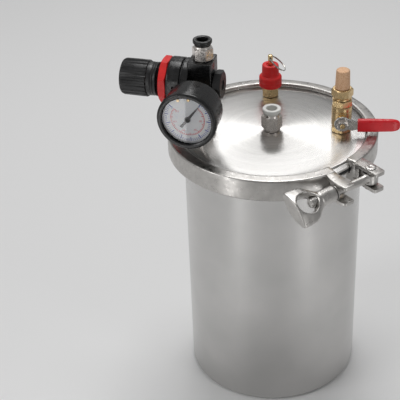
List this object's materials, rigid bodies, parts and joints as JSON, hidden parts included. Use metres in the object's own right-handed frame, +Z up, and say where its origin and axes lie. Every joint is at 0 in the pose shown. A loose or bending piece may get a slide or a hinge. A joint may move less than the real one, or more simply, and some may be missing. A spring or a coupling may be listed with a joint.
{
  "type": "resin pressure pot",
  "caption": "Stainless steel pressure pot with a clamped lid, an air regulator with gauge, a relief valve, a fluid outlet and a vent valve with silencer.",
  "frame": {"origin": "middle of the pot's flat base, on the surface that it stands on", "axes": "+Z up along the pot's axis, -Y to the front, where the gauge faces, +X to the right, where the vent valve's lever points"},
  "size_m": [0.2051, 0.1901, 0.2815],
  "materials": {
    "pot_steel": "satin polished stainless steel tube with fine lines round it",
    "lid_steel": "stainless steel plate, turned finish in fine rings",
    "clamp_steel": "polished stainless steel casting",
    "lever_steel": "bright zinc plated steel sheet",
    "nickel_plate": "bright nickel plating on brass",
    "brass": "machined brass, slightly tarnished",
    "sintered_bronze": "matte porous sintered bronze",
    "red_plastic": "moulded red plastic, satin gloss",
    "red_vinyl": "dipped red vinyl, smooth and slightly glossy",
    "black_plastic": "moulded black plastic with a fine grain",
    "black_paint": "black powder paint, semi-gloss",
    "white_plastic": "off-white acetal",
    "black_rubber": "black rubber",
    "spring_steel": "drawn steel wire",
    "dial_face": "pale printed dial",
    "clear_lens": "clear flat window",
    "ptfe": "white ptfe"
  },
  "bodies": {
    "root": {"pot_shell": "pot_steel", "gasket": "black_rubber", "clamp_half_right": "clamp_steel", "clamp_hinge_pin": "clamp_steel", "swing_bolt_pin": "clamp_steel"},
    "clamp_left": {"clamp_half_left": "clamp_steel"},
    "swing_bolt": {"swing_bolt": "clamp_steel"},
    "nut_carrier": {"thrust_washer": "clamp_steel"},
    "wing_nut": {"wing_nut": "clamp_steel"},
    "lid": {"lid_plate": "lid_steel", "outlet_fitting_body": "nickel_plate", "relief_body": "brass", "relief_cap": "red_plastic", "relief_spring": "spring_steel", "valve_body": "brass", "valve_end_piece": "brass", "valve_seat_lower": "ptfe", "valve_seat_upper": "ptfe", "silencer_base": "brass", "silencer_element": "sintered_bronze", "regulator_body": "black_paint", "regulator_bonnet": "black_paint", "panel_nut": "red_plastic", "bottom_plug": "black_plastic", "valve_poppet": "brass", "diaphragm": "black_rubber", "main_spring": "spring_steel", "outlet_nipple": "nickel_plate", "inlet_fitting_body": "nickel_plate", "gauge_case": "black_paint", "gauge_bezel": "black_paint", "gauge_lens": "clear_lens", "gauge_dial": "dial_face", "dial_screw_1": "brass", "dial_screw_2": "brass", "bourdon_tube": "brass", "gauge_socket": "brass"},
    "relief_stem": {"relief_stem": "brass", "relief_seal": "black_rubber"},
    "relief_ring": {"relief_ring": "spring_steel"},
    "outlet_collar": {"outlet_release_collar": "white_plastic"},
    "inlet_collar": {"inlet_release_collar": "black_plastic"},
    "valve_lever": {"valve_lever": "lever_steel", "lever_sleeve": "red_vinyl", "lever_nut": "nickel_plate", "valve_stem": "brass", "valve_ball": "nickel_plate"},
    "adjusting_screw": {"adjusting_screw": "clamp_steel"},
    "adjusting_knob": {"adjusting_knob": "black_plastic"},
    "gauge_pointer": {"gauge_pointer": "black_plastic"}
  },
  "joints": [
    {"name": "lid_turn", "type": "hinge", "parent": "root", "child": "lid", "pos_m": [0, 0, 0.2026], "axis": [0, 0, 1], "range_deg": [-45, 45]},
    {"name": "clamp_left_open", "type": "hinge", "parent": "root", "child": "clamp_left", "pos_m": [-0.05315, 0.06634, 0.2026], "axis": [0, 0, -1], "range_deg": [0, 3.7]},
    {"name": "swing_bolt_swing", "type": "hinge", "parent": "root", "child": "swing_bolt", "pos_m": [0.0686, -0.05844, 0.2026], "axis": [0, 0, 1], "range_deg": [0, 100]},
    {"name": "wing_nut_travel", "type": "slide", "parent": "swing_bolt", "child": "nut_carrier", "axis": [-0.7804, -0.6252, 0], "range_m": [0, 0.0125]},
    {"name": "wing_nut_turn", "type": "hinge", "parent": "nut_carrier", "child": "wing_nut", "pos_m": [0.02412, -0.09408, 0.2026], "axis": [-0.7804, -0.6252, 0], "range_deg": [0, 3600]},
    {"name": "relief_stem_lift", "type": "slide", "parent": "lid", "child": "relief_stem", "axis": [0, 0, 1], "range_m": [0, 0.0025], "stiffness_N_per_m": 900, "springref_m": -0.003, "deforming": ["relief_spring"]},
    {"name": "relief_ring_swing", "type": "hinge", "parent": "relief_stem", "child": "relief_ring", "pos_m": [-0.0019, 0.056, 0.2398], "axis": [0, -1, 0], "range_deg": [0, 250]},
    {"name": "outlet_collar_press", "type": "slide", "parent": "lid", "child": "outlet_collar", "axis": [0, 0, -1], "range_m": [0, 0.0012], "stiffness_N_per_m": 1500, "springref_m": -0.001},
    {"name": "inlet_collar_press", "type": "slide", "parent": "lid", "child": "inlet_collar", "axis": [0, 0, -1], "range_m": [0, 0.0012], "stiffness_N_per_m": 1500, "springref_m": -0.001},
    {"name": "valve_lever_turn", "type": "hinge", "parent": "lid", "child": "valve_lever", "pos_m": [0.0507, 0, 0.2192], "axis": [0, -1, 0], "range_deg": [0, 90]},
    {"name": "adjusting_screw_turn", "type": "hinge", "parent": "lid", "child": "adjusting_screw", "pos_m": [-0.05, 0, 0.2464], "axis": [0.9781, -0.2079, 0], "range_deg": [0, 1800]},
    {"name": "knob_pull", "type": "slide", "parent": "adjusting_screw", "child": "adjusting_knob", "axis": [-0.9781, 0.2079, 0], "range_m": [0, 0.003]},
    {"name": "gauge_pointer_sweep", "type": "hinge", "parent": "lid", "child": "gauge_pointer", "pos_m": [-0.05915, -0.04304, 0.2409], "axis": [0.2079, 0.9781, 0], "range_deg": [0, 270], "stiffness_Nm_per_rad": 0.0001, "springref_deg": -17.19}
  ],
  "couplings": [
    {"joint": "wing_nut_turn", "follows": "wing_nut_travel", "rad_per_m": 5026.5},
    {"joint": "clamp_left_open", "follows": "wing_nut_travel", "rad_per_m": 5.0265}
  ]
}
